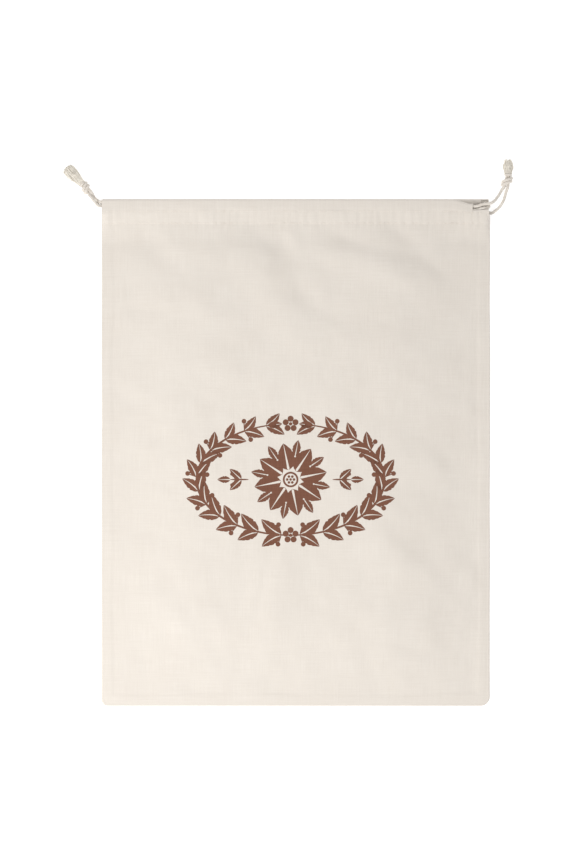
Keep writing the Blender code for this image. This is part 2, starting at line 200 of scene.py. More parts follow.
LEFT_CORD_TURN = ((148.2, 189.0, 7.1), (149.4, 190.5, 5.0), (148.6, 192.7, 3.1), (146.0, 193.5, 2.5))
RIGHT_CORD_BACK_IN_SLIT = (144.5, 188.4, 2.6)
RIGHT_CORD_TURN = ((-152.4, 193.5, 7.0), (-153.6, 192.6, 4.9), (-152.5, 190.9, 3.1))
CHANNEL_COLUMNS = [x * MM for x in (-150, -146, -138, *range(-128, 129, 16), 138)]

# Knots: middle, heading and size as in the solids. The doubled cord winds round itself in an oval wrap. The
# neck ring has its place along, its reach across and up, and its tilt
KNOTS = {
    "left": {
        "middle": Vector((-163.2, 205.2, 2.75)) * MM,
        "heading": math.radians(131),
        "size": 0.78,
        "strand": 1.35 * MM,
        "wrap_from": -1.6 * MM,
        "wrap_turns": 0.92,
        "wrap_pitch": 2.2 * MM,
        "wrap_across": 2.75 * MM,
        "wrap_up": 1.8 * MM,
        "wrap_tilt": 0.9 * MM,
        "neck_ring": (2.9 * MM, 2.1 * MM, 1.55 * MM, 0.4 * MM),
        "root": 3.9 * MM,
        "tassel_heading": math.radians(134),
        "tassel_length": 17.6 * MM,
        "tassel_half_widths": (2.5 * MM, 4.0 * MM, 4.5 * MM),
        "tassel_points": 0.0,
    },
    "right": {
        "middle": Vector((163.6, 211.4, 3.15)) * MM,
        "heading": math.radians(80),
        "size": 0.9,
        "strand": 1.28 * MM,
        "wrap_from": -2.6 * MM,
        "wrap_turns": 0.86,
        "wrap_pitch": 2.2 * MM,
        "wrap_across": 3.2 * MM,
        "wrap_up": 2.0 * MM,
        "wrap_tilt": 1.5 * MM,
        "neck_ring": (3.2 * MM, 2.1 * MM, 1.6 * MM, 0.3 * MM),
        "root": 4.6 * MM,
        "tassel_heading": math.radians(91),
        "tassel_length": 11.3 * MM,
        "tassel_half_widths": (2.6 * MM, 3.7 * MM, 3.3 * MM),
        "tassel_points": 0.16,
    },
}
WRAP_START = math.radians(-65)
WRAP_STEPS = 60
YARN_LAYERS = 4
YARN_LAYER = 0.7 * MM
YARNS_ACROSS = 20
YARN_STEPS = 14
LOCKS = 2.5

# Photograph: 576 by 864 pixels, the bag's middle and its scale in it
PHOTO_WIDTH, PHOTO_HEIGHT = 576, 864
BAG_MIDDLE_X, BAG_MIDDLE_Y = 295.75, 452.3
PIXEL = 300 * MM / 387.7
LENS = 300 * MM
SENSOR = 36 * MM

PRINT_MIDDLE = Vector((-4 * MM, -21 * MM))
PRINT_WIDTH = 163 * MM
PRINT_HEIGHT = 102 * MM
INK_HEIGHT = 0.05 * MM
INK_STEP = 0.02 * MM


# Camera

def make_camera():
    """Straight above, aimed at the middle of the photograph's frame."""
    aim = Vector(((PHOTO_WIDTH / 2 - BAG_MIDDLE_X) * PIXEL, (BAG_MIDDLE_Y - PHOTO_HEIGHT / 2) * PIXEL, 0))
    distance = PHOTO_HEIGHT * PIXEL * LENS / SENSOR
    data = bpy.data.cameras.new("camera")
    data.lens = LENS / MM
    data.sensor_width = SENSOR / MM
    camera = bpy.data.objects.new("camera", data)
    camera.location = aim + Vector((0, 0, distance))
    bpy.context.scene.collection.objects.link(camera)
    bpy.context.scene.camera = camera


# Shape of the panels

def smoothstep(low, high, value):
    share = min(max((value - low) / (high - low), 0.0), 1.0)
    return share * share * (3 - 2 * share)


def droop(x):
    """How much of the front panel's droop towards the slit is reached, from 0 to 1."""
    return smoothstep(SLIT - DROOP_LENGTH, SLIT, x)


def front_top(x):
    return TOP - DROOP_TOP * droop(x)


def front_stitch(x):
    return STITCH - DROOP_STITCH * droop(x)


def level_at(y):
    for (y0, seam0, crown0), (y1, seam1, crown1) in zip(LEVELS, LEVELS[1:]):
        if y <= y1:
            share = smoothstep(y0, y1, y)
            return seam0 + (seam1 - seam0) * share, crown0 + (crown1 - crown0) * share
    return LEVELS[-1][1:]


def ridges(table, x, y):
    """Height that a table of ridges and hollows adds at one place of the front panel."""
    total = 0.0
    for x0, y0, x1, y1, half_width, height in table:
        along_x, along_y = (x1 - x0) * MM, (y1 - y0) * MM
        to_x, to_y = x - x0 * MM, y - y0 * MM
        share = (to_x * along_x + to_y * along_y) / (along_x * along_x + along_y * along_y)
        share = min(max(share, 0.0), 1.0)
        away = math.hypot(to_x - along_x * share, to_y - along_y * share) / (half_width * MM)
        if away < 3:
            total += height * MM * math.exp(-away * away) * (0.55 + 0.45 * math.sin(math.pi * share))
    return total


def solid_height(x, y):
    """Height of the middle of the front panel's solid, up to the first row of stitches."""
    seam, crown = level_at(y)
    rise = smoothstep(0, SIDE_RISE, SIDE - abs(x)) * smoothstep(0, BOTTOM_RISE, y - BOTTOM)
    relief = ridges(FOLDS, x, y) * (1 - smoothstep(150 * MM, HEM_EDGE, y))
    return seam + (crown - seam + relief) * rise


def seam_distance(x, y):
    """Distance in from the nearest seam, at the sides or the bottom."""
    return min(SIDE - abs(x), y - BOTTOM)


def rounded_edge(distance, width):
    """From 0 at the very edge to 1 where the rounded edge ends."""
    share = min(max(distance / width, 0.0), 1.0)
    return math.sqrt(1 - (1 - share) ** 2)


def allowance_ridge(x, y):
    """The seam allowances lie inside the bag along its sides and bottom, and show through as a low step."""
    reach = ALLOWANCE + 1.6 * MM * noise.noise(Vector((x * 14, y * 14, 3.7)))
    distance = seam_distance(x, y)
    step = 1 - smoothstep(reach - 0.9 * MM, reach + 1.5 * MM, distance)
    groove = math.exp(-(((distance - 1.9 * MM) / (0.8 * MM)) ** 2))
    return ALLOWANCE_STEP * step - SEAM_GROOVE * groove


def unevenness(x, y):
    """The cloth's own soft unevenness, at several scales."""
    p = Vector((x, y, 0.31))
    broad = noise.noise(p * 17) * 0.8 + noise.noise(p * 38 + Vector((5, 9, 2))) * 0.95
    fine = noise.noise(p * 85 + Vector((1, 3, 8))) * 0.42
    return (broad + fine) * MM


def pucker(x, y):
    """Short ripples across the hem, gathered by its two rows of stitches."""
    drift = noise.noise(Vector((x * 60, 1.5, 0.4))) * 2.2
    strength = 0.55 + 0.45 * noise.noise(Vector((x * 45, 7.1, 2.2)))
    wave = math.sin(x / (6.1 * MM) * 2 * math.pi + drift * 2.4)
    wave += 0.55 * math.sin(x / (3.7 * MM) * 2 * math.pi + drift * 4.1)
    in_hem = smoothstep(HEM_EDGE - 7 * MM, HEM_EDGE + 3 * MM, y)
    in_hem *= 1 - 0.8 * smoothstep(STITCH - 3 * MM, STITCH + 3 * MM, y)
    return PUCKER * wave * strength * in_hem


def stitch_groove(x, y):
    """Each row of stitches draws the cloth down in a narrow groove."""
    total = 0.0
    for row, depth in ((front_stitch(x), 0.05 * MM), (SECOND_STITCH, 0.14 * MM)):
        away = (y - row) / (1.0 * MM)
        if abs(away) < 3:
            beat = 0.75 + 0.25 * math.cos(x / STITCH_PITCH * 2 * math.pi)
            total -= depth * math.exp(-away * away) * beat
    return total


def hem_lift(x, y):
    """The cloth sags a little below the hem, and the hem rises from its edge to the channel."""
    below = min(max((y - HEM_EDGE + SAG_LENGTH) / SAG_LENGTH, 0.0), 1.0)
    share = min(max((y - HEM_EDGE) / (STITCH - HEM_EDGE), 0.0), 1.0)
    return (HEM_SAG + HEM_RISE * (1 - 0.8 * droop(x))) * share - HEM_SAG * below**2


def seam_edge_z(y):
    """Height of the middle of the front sheet at its very edge, up to the end of the side seam."""
    return SEAM_EDGE_Z + (HEM_SEAM_EDGE_Z - SEAM_EDGE_Z) * smoothstep(HEM_EDGE - 8 * MM, HEM_EDGE, y)


def front_height(x, y):
    """Height of the middle of the front sheet, up to the first row of stitches."""
    distance = seam_distance(x, y)
    inside = smoothstep(1.5 * MM, 16 * MM, distance)
    height = solid_height(x, y) + LIFT + hem_lift(x, y)
    height += allowance_ridge(x, y) + (ridges(CREASES, x, y) + unevenness(x, y)) * inside
    height += pucker(x, y) * smoothstep(0, 5 * MM, distance) + stitch_groove(x, y)
    closed = 1 - smoothstep(SEAM_END - 1 * MM, STITCH - 1 * MM, y)
    width = EDGE_ROUND + (HEM_EDGE_ROUND - EDGE_ROUND) * smoothstep(160 * MM, HEM_EDGE, y)
    return height - (height - seam_edge_z(y)) * (1 - rounded_edge(distance, width)) * closed


def front_channel_z(x):
    """Height of the front channel's middle."""
    return solid_height(x, STITCH) - LAYER_PITCH / 2


def top_fold(middle, reach, up, down, start, end):
    """Points over a top fold, from one angle to another. It reaches past its middle, up and down from it."""
    points = []
    for i in range(FOLD_ROWS + 1):
        angle = math.radians(start + (end - start) * i / FOLD_ROWS)
        out = max(math.cos(angle), 0.0) ** FOLD_SHARPNESS
        rise = math.copysign(abs(math.sin(angle)) ** FOLD_SHARPNESS, math.sin(angle))
        points.append((middle[0] + reach * out, middle[1] + rise * (up if rise > 0 else down)))
    return points


def early_rise(share):
    """Rises at once and levels out."""
    return 1 - (1 - share) ** 3


def easy_rise(share):
    """Level at both ends."""
    return smoothstep(0, 1, share)


def blend_rows(start, end, count, rise):
    """Points from start to end, without either, whose height follows the function rise."""
    rows = []
    for i in range(1, count):
        share = i / count
        rows.append((start[0] + (end[0] - start[0]) * share, start[1] + (end[1] - start[1]) * rise(share)))
    return rows


def even_rows(low, high, count):
    return [low + (high - low) * i / count for i in range(count + 1)]


def spread_rows(low, high, pitch):
    return even_rows(low, high, max(1, round((high - low) / pitch)))


def front_columns():
    """Across the front panel: close together at both edges and at the slit, and even between."""
    left = [-SIDE + d for d in EDGE_STEPS]
    right = [-x for x in reversed(left)]
    middle = spread_rows(left[-1], SLIT - SLIT_BAND, COLUMN_PITCH)
    slit = [SLIT - 1.2 * MM, SLIT - 0.5 * MM, SLIT]
    return left[:-1] + middle + slit + [x for x in right if x > SLIT + 0.4 * MM]


def front_rows():
    """Up the front panel from the bottom seam to the hem."""
    edge = [BOTTOM + d for d in EDGE_STEPS]
    return edge[:-1] + spread_rows(edge[-1], HEM_START, BODY_PITCH)[:-1]


def front_section(x, rows):
    """The front sheet in a cut at x: up the front, over the top fold and down inside to the hem's edge."""
    top, stitch, channel_z = front_top(x), front_stitch(x), front_channel_z(x)
    lane_y = top - FOLD_INSET - LANE_PITCH
    hem_rows = even_rows(HEM_START, stitch, HEM_ROWS)
    section = [(y, front_height(x, y)) for y in rows + hem_rows]
    ripple = pucker(x, STITCH + 4 * MM)
    crest_y = lane_y + LANE_PITCH * 0.3 + SLIT_LIP_RISE * smoothstep(SLIT, SIDE, x)
    crest = (crest_y, channel_z + CHANNEL_RISE + ripple)
    section += blend_rows(section[-1], crest, CHANNEL_ROWS, early_rise) + [crest]
    middle = (top - FOLD_INSET, channel_z)
    section += top_fold(middle, FRONT_FOLD_REACH, CHANNEL_RISE, CHANNEL_RISE, 90, -90)
    section += [(lane_y, channel_z - CHANNEL_RISE)]
    inner_rows = even_rows(TOP - HEM_TURNED, stitch, INNER_ROWS)
    inner = [(y, front_height(x, y) - INNER_DROP) for y in inner_rows]
    return section + inner[::-1]


def back_columns():
    left = [-SIDE + d for d in EDGE_STEPS]
    return left[:-1] + spread_rows(left[-1], -left[-1], 4 * MM)[:-1] + [-x for x in reversed(left)]


def back_height(x, y):
    """Height of the middle of the back sheet. Its edge turns up to the seam."""
    flat = CLOTH / 2
    edge = seam_edge_z(y) - CLOTH - 0.03 * MM
    edge += (flat - edge) * smoothstep(HEM_EDGE - 1 * MM, TOP - HEM_TURNED, y)
    return flat + (edge - flat) * (1 - rounded_edge(seam_distance(x, y), EDGE_ROUND))


def back_bulge(x):
    rise = smoothstep(SLIT - 24 * MM, SLIT - 8 * MM, x)
    return BACK_BULGE * rise * (1 - smoothstep(SLIT - 4 * MM, SLIT + 2 * MM, x))


def back_section(x, rows):
    """The back sheet in a cut: flat on the surface, over the top fold and down inside to the hem's edge."""
    lane_y = TOP - FOLD_INSET - LANE_PITCH
    section = [(y, back_height(x, y)) for y in rows + even_rows(HEM_START, STITCH, HEM_ROWS // 2)]
    section += [(lane_y, CLOTH / 2)]
    down = BACK_CHANNEL_Z - CLOTH / 2
    middle = (TOP - FOLD_INSET, BACK_CHANNEL_Z)
    rise = CHANNEL_RISE + back_bulge(x)
    section += top_fold(middle, BACK_FOLD_REACH, rise, down, -90, 90)
    crest = (lane_y, BACK_CHANNEL_Z + rise)
    inner_z = CLOTH / 2 + CLOTH + 0.15 * MM
    section += [crest] + blend_rows(crest, (STITCH, inner_z), BACK_CHANNEL_ROWS, easy_rise)
    return section + [(y, inner_z) for y in even_rows(TOP - HEM_TURNED, STITCH, INNER_ROWS)[::-1]]


def half_width(x, y):
    """Half the bag's width at one distance up it, less than the whole where a bottom corner is rounded."""
    radius = CORNER_RIGHT if x > 0 else CORNER_LEFT
    up = min(y - BOTTOM, radius)
    return SIDE - radius + math.sqrt(radius * radius - (radius - up) ** 2)


def edge_wander(x, y):
    """The sides aren't quite straight, and the ends of the hem are drawn in."""
    wander = 0.45 * MM * noise.noise(Vector((math.copysign(3.3, x), y * 21, 0.9)))
    if x > 0:
        wander -= RIGHT_DRAW * smoothstep(SEAM_END, STITCH, y)
    else:
        wander += LEFT_DRAW * smoothstep(TOP - 7 * MM, TOP, y)
    return wander * (abs(x) / SIDE) ** 8


def cloth_sheet(name, columns, sections, is_cut_away, material):
    """A thin sheet with one section for each column. Its UV map is in metres along the cloth."""
    across, along = len(columns) - 1, len(sections[0]) - 1
    sheet = bmesh.new()
    bmesh.ops.create_grid(sheet, x_segments=across, y_segments=along, size=0.5)
    uv_layer = sheet.loops.layers.uv.new("cloth")
    lengths = [0.0]
    middle = sections[len(sections) // 2]
    for (y0, z0), (y1, z1) in zip(middle, middle[1:]):
        lengths.append(lengths[-1] + math.hypot(y1 - y0, z1 - z0))
    flat = {}
    for vertex in sheet.verts:
        column = round((vertex.co.x + 0.5) * across)
        row = round((vertex.co.y + 0.5) * along)
        x = columns[column]
        y, z = sections[column][row]
        flat[vertex.index] = (x, lengths[row])
        vertex.co = Vector((x * half_width(x, y) / SIDE + edge_wander(x, y), y, z))
    for face in sheet.faces:
        for loop in face.loops:
            loop[uv_layer].uv = flat[loop.vert.index]
    doomed = [face for face in sheet.faces if is_cut_away(*divmod(face.index, across))]
    bmesh.ops.delete(sheet, geom=doomed, context="FACES")
    mesh = bpy.data.meshes.new(name)
    sheet.to_mesh(mesh)
    sheet.free()
    obj = bpy.data.objects.new(name, mesh)
    bpy.context.scene.collection.objects.link(obj)
    thicken = obj.modifiers.new("Thickness", "SOLIDIFY")
    thicken.thickness = CLOTH
    thicken.offset = 0
    thicken.use_even_offset = False
    mesh.materials.append(material)
    mesh.shade_smooth()
    return obj


def make_front(material):
    columns, rows = front_columns(), front_rows()
    sections = [front_section(x, rows) for x in columns]
    slit_column = columns.index(SLIT)
    lip_row = len(rows) + HEM_ROWS + SLIT_LIP_ROWS
    facing_row = len(sections[0]) - 3 - INNER_ROWS

    def is_cut_away(row, column):
        return column >= slit_column and lip_row <= row < facing_row

    return cloth_sheet("front_sheet", columns, sections, is_cut_away, material)


def make_slit_edge(material):
    """The turned edge of the front channel at the slit."""
    section = front_section(SLIT, [])
    turned_edge = section[HEM_ROWS : HEM_ROWS + CHANNEL_ROWS + 1 + FOLD_ROWS * 2 // 3]
    line = [Vector((SLIT - 0.1 * MM + edge_wander(SLIT, y), y, z + 0.12 * MM)) for y, z in turned_edge]

    def fill(work, uv_layer):
        twisted_cord(work, uv_layer, line, 0.48 * MM, 0, 1.0, 10)

    return new_piece("slit_edge", fill, material)


def make_back(material):
    columns = back_columns()
    rows = front_rows()
    sections = [back_section(x, rows) for x in columns]
    fold_row = len(rows) + HEM_ROWS // 2 + 2 + FOLD_ROWS * 5 // 6
    crest_row = fold_row + FOLD_ROWS // 6 + 1

    def is_cut_away(row, column):
        open_row = crest_row if columns[column] < BACK_SLIT else fold_row
        return columns[column] >= SLIT - 1 * MM and row >= open_row

    return cloth_sheet("back_sheet", columns, sections, is_cut_away, material)


# Materials

def node_material(name):
    material = bpy.data.materials.new(name)
    material.use_nodes = True
    nodes = material.node_tree.nodes
    return material, nodes, material.node_tree.links, nodes["Principled BSDF"]


def math_node(nodes, links, operation, *values):
    node = nodes.new("ShaderNodeMath")
    node.operation = operation
    for socket, value in zip(node.inputs, values):
        if isinstance(value, (int, float)):
            socket.default_value = value
        else:
            links.new(value, socket)
    return node.outputs[0]


def noise_node(nodes, links, vector, scale, detail=2.0, roughness=0.5):
    """Noise with its own scale along each axis."""
    stretch = nodes.new("ShaderNodeMapping")
    stretch.inputs["Scale"].default_value = scale
    links.new(vector, stretch.inputs["Vector"])
    node = nodes.new("ShaderNodeTexNoise")
    node.inputs["Scale"].default_value = 1.0
    node.inputs["Detail"].default_value = detail
    node.inputs["Roughness"].default_value = roughness
    links.new(stretch.outputs["Vector"], node.inputs["Vector"])
    return node.outputs["Fac"]


def two_tones(nodes, links, factor, low, high, start, end):
    ramp = nodes.new("ShaderNodeValToRGB")
    ramp.color_ramp.elements[0].position = start
    ramp.color_ramp.elements[1].position = end
    ramp.color_ramp.elements[0].color = (*low, 1)
    ramp.color_ramp.elements[1].color = (*high, 1)
    links.new(factor, ramp.inputs["Fac"])
    return ramp.outputs["Color"]


def multiplied(nodes, links, a, b):
    """One colour times another."""
    node = nodes.new("ShaderNodeMix")
    node.data_type = "RGBA"
    node.blend_type = "MULTIPLY"
    node.inputs["Factor"].default_value = 1.0
    links.new(a, node.inputs["A"])
    links.new(b, node.inputs["B"])
    return node.outputs["Result"]


def bumped(nodes, links, height, distance, strength):
    node = nodes.new("ShaderNodeBump")
    node.inputs["Distance"].default_value = distance
    node.inputs["Strength"].default_value = strength
    links.new(height, node.inputs["Height"])
    return node.outputs["Normal"]


def cloth_uv(nodes):
    uv = nodes.new("ShaderNodeUVMap")
    uv.uv_map = "cloth"
    return uv.outputs["UV"]


def matt_finish(shader, roughness, sheen):
    """Matt, with the faint sheen of loose fibres."""
    shader.inputs["Roughness"].default_value = roughness
    shader.inputs["Specular IOR Level"].default_value = 0.2
    shader.inputs["Sheen Weight"].default_value = sheen
    shader.inputs["Sheen Roughness"].default_value = 0.5


def weave(nodes, links):
    """Plain weave of uneven threads: its UV, its height, its slubs and the rise of its threads."""
    uv = cloth_uv(nodes)
    wander = nodes.new("ShaderNodeTexNoise")
    wander.inputs["Scale"].default_value = THREAD_WANDER
    wander.inputs["Detail"].default_value = 2
    links.new(uv, wander.inputs["Vector"])
    shift = nodes.new("ShaderNodeVectorMath")
    shift.operation = "MULTIPLY_ADD"
    shift.inputs[1].default_value = (THREAD_SHIFT, THREAD_SHIFT, 0)
    links.new(wander.outputs["Color"], shift.inputs[0])
    links.new(uv, shift.inputs[2])
    split = nodes.new("ShaderNodeSeparateXYZ")
    links.new(shift.outputs[0], split.inputs[0])
    turns = [math_node(nodes, links, "MULTIPLY", split.outputs[i], math.pi / THREAD) for i in range(2)]
    across, along = [math_node(nodes, links, "SINE", turn) for turn in turns]
    over = math_node(nodes, links, "MULTIPLY", across, along)
    threads = math_node(nodes, links, "ABSOLUTE", over)
    warp_slub = noise_node(nodes, links, uv, WARP_SLUB)
    weft_slub = noise_node(nodes, links, uv, WEFT_SLUB)
    slub = math_node(nodes, links, "ADD", warp_slub, weft_slub)
    height = math_node(nodes, links, "ADD", threads, math_node(nodes, links, "MULTIPLY", slub, 1.1))
    return uv, height, math_node(nodes, links, "MULTIPLY", slub, 0.5), threads


def cloth_material(name, dark, light, painted_gap_shade, low):
    material, nodes, links, shader = node_material(name)
    uv, height, slub, threads = weave(nodes, links)
    colour = two_tones(nodes, links, slub, dark, light, 0.36, 0.64)
    blotch = noise_node(nodes, links, uv, BLOTCH, detail=3.0, roughness=0.6)
    tint = two_tones(nodes, links, blotch, low, (1, 1, 1), 0.3, 0.7)
    colour = multiplied(nodes, links, colour, tint)
    # Painted shade: the colour is darkened in the grooves between the threads, where the weave's bump sinks.
    painted_thread_shade = two_tones(nodes, links, threads, (painted_gap_shade,) * 3, (1, 1, 1), 0.0, 0.45)
    colour = multiplied(nodes, links, colour, painted_thread_shade)
    links.new(colour, shader.inputs["Base Color"])
    matt_finish(shader, roughness=0.92, sheen=0.12)
    links.new(bumped(nodes, links, height, 0.12 * MM, 0.55), shader.inputs["Normal"])
    return material


def cord_material(name, dark, light):
    material, nodes, links, shader = node_material(name)
    uv = cloth_uv(nodes)
    fibres = noise_node(nodes, links, uv, FIBRE, detail=3.0)
    patches = noise_node(nodes, links, uv, CORD_PATCH)
    fibre_share = math_node(nodes, links, "MULTIPLY", fibres, 0.6)
    patch_share = math_node(nodes, links, "MULTIPLY", patches, 0.4)
    tone = math_node(nodes, links, "ADD", fibre_share, patch_share)
    links.new(two_tones(nodes, links, tone, dark, light, 0.36, 0.62), shader.inputs["Base Color"])
    matt_finish(shader, roughness=0.9, sheen=0.2)
    links.new(bumped(nodes, links, fibres, 0.15 * MM, 0.6), shader.inputs["Normal"])
    return material


# Cords, knots and tassels

def smooth_line(points, step):
    """Points of a smooth curve through the given ones."""
    ends = [points[0] * 2 - points[1]] + list(points) + [points[-1] * 2 - points[-2]]
    line = [points[0]]
    for before, start, end, after in zip(ends, ends[1:], ends[2:], ends[3:]):
        count = max(1, round((end - start).length / step))
        for i in range(1, count + 1):
            t = i / count
            bend = 2 * before - 5 * start + 4 * end - after
            twist = 3 * start - before - 3 * end + after
            line.append(start + (end - before) * (t / 2) + bend * (t * t / 2) + twist * (t**3 / 2))
    return line


def millimetres(points):
    return [Vector(p) * MM for p in points]


def knot_place(side, point):
    """A point of the plain knot path, placed where this side's knot is."""
    knot = KNOTS[side]
    return knot["middle"] + Matrix.Rotation(knot["heading"], 3, "Z") @ (point * knot["size"])


def knot_entry(side, across):
    places = [Vector((x, across * spread, 0.0)) * MM for x, spread in ((-7.5, 1.6), (-3.6, 1.35))]
    return [knot_place(side, place) for place in places]


def front_lane(x, low):
    return Vector((x, front_top(x) - FOLD_INSET - LANE_PITCH * low, front_channel_z(x)))


def back_lane(x, low):
    return Vector((x, TOP - FOLD_INSET - LANE_PITCH * low, BACK_CHANNEL_Z))


def left_cord_route():
    front_out = knot_entry("left", 1)[::-1] + millimetres(LEFT_FRONT_TAIL)[::-1]
    front_run = [front_lane(x, low=1) for x in CHANNEL_COLUMNS]
    turn = millimetres([LEFT_CORD_IN_SLIT, *LEFT_CORD_TURN])
    back_run = [back_lane(x, low=0) for x in reversed(CHANNEL_COLUMNS)]
    back_out = millimetres(LEFT_BACK_TAIL) + knot_entry("left", -1)
    return front_out + front_run + turn + back_run + back_out


def right_cord_route():
    front_out = knot_entry("right", 1)[::-1] + millimetres([RIGHT_CORD_IN_SLIT, *RIGHT_FRONT_TAIL])[::-1]
    front_run = [front_lane(x, low=0) for x in reversed(CHANNEL_COLUMNS)]
    turn = millimetres(RIGHT_CORD_TURN)
    back_run = [back_lane(x, low=1) for x in CHANNEL_COLUMNS]
    back_out = millimetres([RIGHT_CORD_BACK_IN_SLIT, *RIGHT_BACK_TAIL]) + knot_entry("right", -1)
    return front_out + front_run + turn + back_run + back_out


def frames_along(line):
    """A sideways direction at each point, carried along without twist."""
    tangents = []
    for i in range(len(line)):
        ahead = line[min(i + 1, len(line) - 1)] - line[max(i - 1, 0)]
        tangents.append(ahead.normalized())
    side = tangents[0].orthogonal().normalized()
    frames = []
    for tangent in tangents:
        side = (side - tangent * side.dot(tangent)).normalized()
        frames.append((tangent, side, tangent.cross(side)))
    return frames


def ply_reach(angle, plies, radius):
    """Distance from a twisted cord's middle to its surface, in one direction round it."""
    ply = radius / (1 + 1 / math.sin(math.pi / plies))
    centre = radius - ply
    period = 2 * math.pi / plies
    off = (angle + period / 2) % period - period / 2
    under_root = max(ply * ply - (centre * math.sin(off)) ** 2, 0.0)
    return max(centre * math.cos(off) + math.sqrt(under_root), radius * 0.8)


def twisted_cord(mesh, uv_layer, line, radius, plies, pitch, sides, taper=0.0):
    """Add a closed tube whose cross-section shows its plies, if it has any, and turns once in each pitch."""
    frames = frames_along(line)
    travelled = 0.0
    rings = []
    for i, (point, (tangent, side, up)) in enumerate(zip(line, frames)):
        if i:
            travelled += (point - line[i - 1]).length
        ring = []
        for k in range(sides):
            angle = 2 * math.pi * k / sides
            reach = ply_reach(angle - travelled / pitch * 2 * math.pi, plies, radius) if plies else radius
            if taper and (i < 1 or i > len(line) - 2):
                reach *= 1 - taper
            ring.append(mesh.verts.new(point + (side * math.cos(angle) + up * math.sin(angle)) * reach))
        rings.append((ring, travelled))
    for (ring, s0), (after, s1) in zip(rings, rings[1:]):
        for k in range(sides):
            n = (k + 1) % sides
            face = mesh.faces.new((ring[k], ring[n], after[n], after[k]))
            round_0, round_1 = k / sides, (k + 1) / sides
            places = ((round_0, s0), (round_1, s0), (round_1, s1), (round_0, s1))
            for loop, (share, s) in zip(face.loops, places):
                loop[uv_layer].uv = ((share - s / pitch) * radius * 2 * math.pi, s)
            face.smooth = True
    mesh.faces.new(rings[0][0][::-1])
    mesh.faces.new(rings[-1][0])


def new_piece(name, fill, material):
    """A mesh object whose faces the function fill adds."""
    work = bmesh.new()
    uv_layer = work.loops.layers.uv.new("cloth")
    fill(work, uv_layer)
    bmesh.ops.recalc_face_normals(work, faces=work.faces)
    mesh = bpy.data.meshes.new(name)
    work.to_mesh(mesh)
    work.free()
    mesh.materials.append(material)
    obj = bpy.data.objects.new(name, mesh)
    bpy.context.scene.collection.objects.link(obj)
    return obj


def make_cord(side, route, material):
    line = smooth_line(route, CORD_STEP)

    def fill(work, uv_layer):
        twisted_cord(work, uv_layer, line, CORD / 2 * CORD_FULLNESS, CORD_PLIES, CORD_PITCH, CORD_SIDES)

    cord = new_piece(f"cord_{side}", fill, material)
    return cord, line


def knot_line(side, points):
    """A smooth line through points that are given beside the knot's middle, along, across and up."""
    knot = KNOTS[side]
    turn = Matrix.Rotation(knot["heading"], 3, "Z")
    return smooth_line([knot["middle"] + turn @ Vector(point) for point in points], KNOT_STEP)


def wrap_points(side, offset):
    """One strand of the doubled cord as it winds round the other two, with both its ends tucked in."""
    knot = KNOTS[side]
    points = []
    for i in range(WRAP_STEPS + 1):
        share = i / WRAP_STEPS
        angle = WRAP_START + knot["wrap_turns"] * 2 * math.pi * share
        tuck = 0.4 + 0.6 * smoothstep(0, 0.1, share) * smoothstep(0, 0.1, 1 - share)
        along = knot["wrap_from"] + knot["wrap_pitch"] * angle / (2 * math.pi)
        along -= knot["wrap_tilt"] * math.cos(angle)
        across = knot["wrap_across"] * math.cos(angle) * tuck
        points.append((along + offset, across, knot["wrap_up"] * math.sin(angle) * tuck))
    return points


def ring_points(along, across, up, tilt):
    """A single strand round the neck of a knot, closed underneath."""
    angles = [-0.5 * math.pi + 2 * math.pi * i / 28 for i in range(29)]
    return [(along - tilt * math.cos(a), across * math.cos(a), up * math.sin(a)) for a in angles]


def core_points(side, sign):
    """One of the two strands that run straight through the knot."""
    knot = KNOTS[side]
    entry, apart = 3.6 * MM * knot["size"], 1.35 * MM * knot["size"] * sign
    inside = 0.85 * MM * sign
    return (
        (-entry - 0.9 * MM, apart * 1.1, 0.0),
        (-entry, apart, 0.0),
        (0.0, inside, 0.0),
        (knot["root"], inside, 0.0),
        (knot["root"] + 1.2 * MM, inside * 0.8, 0.0),
    )


def lift_clear(line, radius):
    """Keep a line's tube on or above the surface."""
    for point in line:
        point.z = max(point.z, radius)
    return line


def make_knot(side, material):
    knot = KNOTS[side]
    radius = knot["strand"]

    def add(work, uv_layer, points, thickness):
        line = lift_clear(knot_line(side, points), thickness)
        twisted_cord(work, uv_layer, line, thickness, CORD_PLIES, KNOT_PITCH, CORD_SIDES)

    def fill(work, uv_layer):
        for sign in (1, -1):
            add(work, uv_layer, core_points(side, sign), radius * 0.88)
            add(work, uv_layer, wrap_points(side, sign * radius * 0.94), radius)
        add(work, uv_layer, ring_points(*knot["neck_ring"]), radius * 0.82)

    return new_piece(f"knot_{side}_tied", fill, material)


def tassel_half_width(knot, share):
    """Half the width of a tassel, from its root, where share is 0, to its tip."""
    root, full, tip = knot["tassel_half_widths"]
    return root + (full - root) * smoothstep(-0.05, 0.6, share) + (tip - full) * smoothstep(0.5, 1.0, share)


